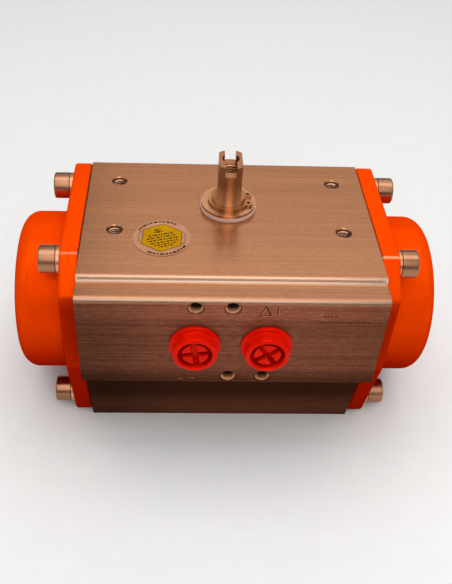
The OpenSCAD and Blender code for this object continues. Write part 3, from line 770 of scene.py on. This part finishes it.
def screw_centres():
    low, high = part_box("cap_screws_right")
    head = SCREW_HEAD[0]
    ys, zs = (low.y / MM + head, high.y / MM - head), (low.z / MM + head, high.z / MM - head)
    return [(y, z) for y in ys for z in zs]


def plate_corners():
    """The cap plate's corners in Y and Z, from the left one of its foot."""
    low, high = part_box("end_cap_right")
    half, bottom, top = high.y / MM, low.z / MM, high.z / MM
    foot, waist, shoulder, slope = 28.2, 37.0, 71.0, CAP_SLOPE_Y / MM
    right = [(foot, bottom), (half, waist), (half, shoulder), (slope, top)]
    left = [(-y, z) for y, z in reversed(right)]
    return [Vector(corner) for corner in left[-1:] + right + left[:-1]]


def corner_arc(before, corner, after, radius, inset, steps=6):
    """Points round a corner of that radius, moved in by inset."""
    arriving, leaving = (corner - before).normalized(), (after - corner).normalized()
    inward = Vector((-arriving.y, arriving.x))
    bend = arriving.angle(leaving)
    centre = corner + (inward + Vector((-leaving.y, leaving.x))) * radius / (1 + math.cos(bend))
    return [centre - Matrix.Rotation(bend * k / steps, 2) @ inward * (radius - inset)
            for k in range(steps + 1)]


def plate_outline(inset=0.0, radius=2.0, widest=3):
    """The cap plate's outline in Y and Z, rounded at its corners, always with the same number of points."""
    corners = plate_corners()
    following = corners[1:] + corners[:1]
    leading = corners[-1:] + corners[:-1]
    arcs = [corner_arc(*three, radius, inset) for three in zip(leading, corners, following)]
    middle = Vector(AXIS)
    points = []
    for arc, next_arc, corner, after in zip(arcs, arcs[1:] + arcs[:1], corners, following):
        parts = math.ceil(math.degrees((corner - middle).angle(after - middle)) / widest)
        points += arc + [arc[-1].lerp(next_arc[0], k / parts) for k in range(1, parts)]
    return points


def make_cap(side, materials):
    """Cast end cap: a plate with rounded edges that flows into a domed drum, hollow inside."""
    sign, plate_x, end_x = cap_side(side)
    face_x = plate_x + PLATE_T
    dome, rim, wall, fillet, round_edge, inner_round, back_edge = 30.4, 6.0, 4.0, 2.0, 1.2, 3.0, 0.3
    cavity, cavity_x = dome - wall, end_x - wall
    angles = [math.atan2(p.y - AXIS[1], p.x) for p in plate_outline()]

    def circle(x, r):
        return [around(sign, x, r, a, AXIS) for a in angles]

    def edge(x, inset):
        return [Vector((sign * x, p.x, p.y)) * MM for p in plate_outline(inset)]

    rings = [circle(cavity_x - rise, cavity - fall) for fall, rise in rounding(inner_round, 5)]
    rings += [circle(plate_x, cavity), edge(plate_x, back_edge), edge(plate_x + back_edge, 0.0)]
    rings += [edge(face_x - fall, rise) for fall, rise in rounding(round_edge, 5)]
    rings += [circle(face_x + rise, dome + fall) for fall, rise in rounding(fillet, 6)]
    rings += [circle(end_x - fall, dome - rise) for fall, rise in rounding(rim, 10)]
    bm = bmesh.new()
    loft(bm, rings)
    piece = new_piece("cast_cap_" + side, bm, materials["cap_paint"])
    carve(piece, cap_cutter(sign, plate_x, face_x, cavity), "DIFFERENCE")
    carve(piece, cap_bosses(sign, cavity_x), "UNION")
    piece.data.set_sharp_from_angle(angle=math.radians(35))
    soften(piece)
    place_piece(piece, "housing", "cap_paint", "end_cap_" + side)


def rod(bm, sign, x0, x1, radius, centre):
    """A closed cylinder along X."""
    loft(bm, [[around(sign, x, radius, a, centre) for a in full_turn(32)] for x in (x0, x1)])


def cap_cutter(sign, plate_x, face_x, cavity):
    """The four screw holes and the groove that leads air into the dome."""
    over, hole_r = 1.0, 3.3
    inner, outer, half, depth = cavity - 2, 41.8, 2.0, 2.5
    bm = bmesh.new()
    for centre in screw_centres():
        rod(bm, sign, plate_x - over, face_x + over, hole_r, centre)
    out = Vector((-31.0, 25.0)).normalized()
    across = Vector((-out.y, out.x))
    ends = ((inner, -half), (outer, -half), (outer, half), (inner, half))
    corners = [Vector(AXIS) + out * r + across * w for r, w in ends]
    loft(bm, [[Vector((sign * x, c.x, c.y)) * MM for c in corners]
              for x in (plate_x - over, plate_x + depth)])
    return bm


def cap_bosses(sign, cavity_x):
    """Pegs that hold the springs' ends."""
    peg_r, reach, root = 3.6, 3, 0.5
    bm = bmesh.new()
    for centre in SPRING_PLACES:
        rod(bm, sign, cavity_x - reach, cavity_x + root, peg_r, centre)
    return bm


def screw_profile():
    """Pairs of height over the seat and radius, from the shank's end to the recess, which is a hexagon."""
    head_r, head_h = SCREW_HEAD
    shank_r, shank_end, point, neck, seat_edge = 2.95, -20.0, 0.6, 0.3, 0.25
    mouth_r, mouth, recess, half_hex, drill_tip, tip_r = 3.15, 0.28, 3.0, 2.5, 0.9, 0.5

    def hexagon(a):
        return half_hex / math.cos((a + math.pi / 6) % (math.pi / 3) - math.pi / 6)

    profile = [(shank_end, shank_r - point), (shank_end + point, shank_r), (-neck, shank_r),
               (0.0, shank_r + neck), (0.0, head_r - seat_edge), (seat_edge, head_r)]
    profile += [(head_h - fall, head_r - rise) for fall, rise in rounding(0.6, 4)]
    profile += [(head_h, mouth_r), (head_h - mouth, hexagon), (head_h - recess, hexagon)]
    return profile + [(head_h - recess - drill_tip, tip_r)]


def make_cap_screws(side, materials):
    """Socket head cap screws with a broken rim and a hexagonal recess."""
    sign, _, _ = cap_side(side)
    low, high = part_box("cap_screws_" + side)
    seat = max(abs(low.x), abs(high.x)) / MM - SCREW_HEAD[1]
    bm = bmesh.new()
    for centre in screw_centres():
        rings = []
        for x, radius in screw_profile():
            radii = [(radius(a) if callable(radius) else radius, a) for a in full_turn(48)]
            rings.append([around(sign, seat + x, r, a, centre) for r, a in radii])
        loft(bm, rings)
    piece = new_piece("socket_screws_" + side, bm, materials["screw_steel"], 40)
    soften(piece)
    place_piece(piece, "housing", "screw_steel", "cap_screws_" + side)


def make_lock_washers(side, materials):
    """Split spring washers of square section, with broken edges."""
    sign, plate_x, _ = cap_side(side)
    start = plate_x + PLATE_T
    inner, outer, broken, gap, turn, steps = 3.08, 4.95, 0.15, 0.17, math.radians(40), 64
    section = ((broken, inner), (0, inner + broken), (0, outer - broken), (broken, outer),
               (WASHER_T - broken, outer), (WASHER_T, outer - broken),
               (WASHER_T, inner + broken), (WASHER_T - broken, inner))
    angles = [turn + gap + (2 * math.pi - 2 * gap) * k / steps for k in range(steps + 1)]
    bm = bmesh.new()
    for centre in screw_centres():
        loft(bm, [[around(sign, start + x, r, a, centre) for x, r in section] for a in angles])
    piece = new_piece("spring_washers_" + side, bm, materials["washer_steel"], 40)
    soften(piece)
    place_piece(piece, "housing", "washer_steel", "lock_washers_" + side)


PLUG_BOSS, PLUG_BOSS_TOP, PLUG_SLOT, PLUG_EDGE = 4.5, 4.9, 2.2, 0.15


def plug_rings(place, turn):
    """From the stub's bore, over the flange and the grip, into the recess and up to the boss's slots."""
    bore, stub, stub_end, tip = 4.4, 6.5, -8.5, 0.5
    neck, neck_z, neck_slope = 6.1, -1.0, 0.4
    flange, flange_t, flange_foot, height = 8.7, 1.5, 0.35, 5.6
    grip, corner, fade, full = 7.02, 7.5, 1.7, 1.3
    recess, recess_z, fillet, wall = 5.8, 2.4, 0.3, 0.2
    ridge = math.acos(grip / corner)
    sector = [ridge * share / 3 for share in range(-3, 4)] + [math.pi / 8]
    angles = [turn + math.pi / 4 * k + a for k in range(8) for a in sector]

    def ring(r, z):
        return [place @ (Vector((*polar(r, a), z)) * MM) for a in angles]

    def grip_ring(inset, z, roundness=0.0):
        """Eight flats at roundness 0, nearly a circle at 1."""
        points = []
        for n, a in enumerate(angles):
            flat = min(grip / math.cos(sector[n % len(sector)]), corner)
            r = flat + (corner - 0.1 - flat) * roundness - inset
            points.append(place @ (Vector((*polar(r, a), z)) * MM))
        return points

    rings = [ring(bore, 0.0), ring(bore, stub_end), ring(stub - tip, stub_end), ring(stub, stub_end + tip)]
    rings += [ring(stub, neck_z), ring(neck, neck_z + neck_slope), ring(neck, 0.0)]
    rings += [ring(flange - flange_foot, 0.0), ring(flange, flange_foot)]
    rings += [ring(flange - rise, flange_t - fall) for fall, rise in rounding(0.5, 4)]
    rings += [grip_ring(-fall, flange_t + rise) for fall, rise in rounding(0.3, 3)]
    rings += [grip_ring(0.0, height - fade), grip_ring(0.0, height - full, 0.6)]
    rings += [grip_ring(rise, height - fall, 1.0) for fall, rise in rounding(0.6, 4)]
    rings += [ring(recess + PLUG_EDGE, height), ring(recess, height - PLUG_EDGE)]
    rings += [ring(recess, recess_z + fillet), ring(recess - fillet, recess_z)]
    rings += [ring(PLUG_BOSS + wall, recess_z), ring(PLUG_BOSS, recess_z + wall)]
    return rings + [ring(PLUG_BOSS, PLUG_BOSS_TOP - PLUG_SLOT)]


def add_plug_boss(bm, place, turn):
    """The boss in the recess: four quarters with a cross slot between them."""
    slot, sunk, parts = 0.95, 0.1, 8
    first = math.asin(slot / PLUG_BOSS)
    arc = [first + (math.pi / 2 - 2 * first) * k / parts for k in range(parts + 1)]
    corners = [(slot, slot)] + [polar(PLUG_BOSS, a) for a in arc]
    for k in range(4):
        spin = Matrix.Rotation(turn + math.pi / 2 * k, 2)
        outline = [spin @ Vector(c) for c in corners]
        middle = sum(outline, Vector((0, 0))) / len(outline)
        shrunk = [c.lerp(middle, 0.07) for c in outline]
        layers = ((outline, PLUG_BOSS_TOP - PLUG_SLOT - sunk), (outline, PLUG_BOSS_TOP - PLUG_EDGE),
                  (shrunk, PLUG_BOSS_TOP))
        loft(bm, [[place @ (Vector((c.x, c.y, z)) * MM) for c in line] for line, z in layers])


def make_plug(side, degrees, materials):
    """Moulded port plug: hollow stub, round flange and an eight-sided grip with a slotted boss inside."""
    low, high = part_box("port_plug_" + side)
    centre = (low + high) / 2
    place = Matrix.Translation((centre.x, PORT_FACE_Y, centre.z)) @ Matrix.Rotation(math.pi / 2, 4, "X")
    turn = math.radians(degrees)
    bm = bmesh.new()
    loft(bm, plug_rings(place, turn))
    add_plug_boss(bm, place, turn)
    piece = new_piece("red_plug_" + side, bm, materials["plug_plastic"], 30)
    soften(piece)
    place_piece(piece, "housing", "plug_plastic", "port_plug_" + side)


# ---------- springs ----------

COIL_TURNS, COIL_R, WIRE_R = 7, 5.2 * MM, 1.0 * MM


def coil_height(t, length):
    """Height of the wire's centre after t turns: the end turns lie against each other."""
    closed = 2.1 * WIRE_R
    start, stop = WIRE_R + closed, length - WIRE_R - closed
    if t < 1:
        return WIRE_R + closed * t
    if t > COIL_TURNS - 1:
        return length - WIRE_R - closed * (COIL_TURNS - t)
    return start + (stop - start) * (t - 1) / (COIL_TURNS - 2)


def add_coil(bm, sign, inner, length, centre, steps=28, sides=12):
    """One spring along X, that starts at the distance inner from the middle. In metres."""
    rings = []
    for i in range(COIL_TURNS * steps + 1):
        t = i / steps
        x = inner + coil_height(t, length)
        ring = []
        for b in full_turn(sides):
            outward, along = polar(WIRE_R, b)
            y, z = polar(COIL_R + outward, 2 * math.pi * t)
            ring.append(Vector((sign * (x + along), centre[0] + y, centre[1] + z)))
        rings.append(ring)
    loft(bm, rings)


def make_springs(materials):
    """Four coils on each side, between the piston and the cap, with closed end turns."""
    for side, sign in (("left", -1), ("right", 1)):
        low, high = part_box("springs_" + side)
        inner, outer = sorted((abs(low.x), abs(high.x)))
        bm = bmesh.new()
        for y, z in SPRING_PLACES:
            add_coil(bm, sign, inner, outer - inner, (y * MM, z * MM))
        piece = new_piece("return_springs_" + side, bm, materials["spring_steel"])
        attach(piece, "housing")
        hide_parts("springs_" + side)
        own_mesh(piece)


# ---------- the whole object ----------

def dress_cad_nodes(materials):
    """Gives every CAD node the material of its slot."""
    for node in NODES.values():
        for holder in node.material_slots:
            holder.material = materials[holder.material.name.split(".")[0]]


def make_cap_hardware(materials):
    for side, turn in (("left", 8), ("right", 34)):
        make_cap(side, materials)
        make_cap_screws(side, materials)
        make_lock_washers(side, materials)
        make_plug(side, turn, materials)


materials = make_materials()
make_camera()
make_studio()
make_cap_hardware(materials)
dress_cad_nodes(materials)
make_threads(materials)
make_shaft_thread(materials["pinion_steel"])
make_pilot_walls(materials["bored_metal"])
make_label()
make_port_marks(materials["thread_crest"])
make_springs(materials)
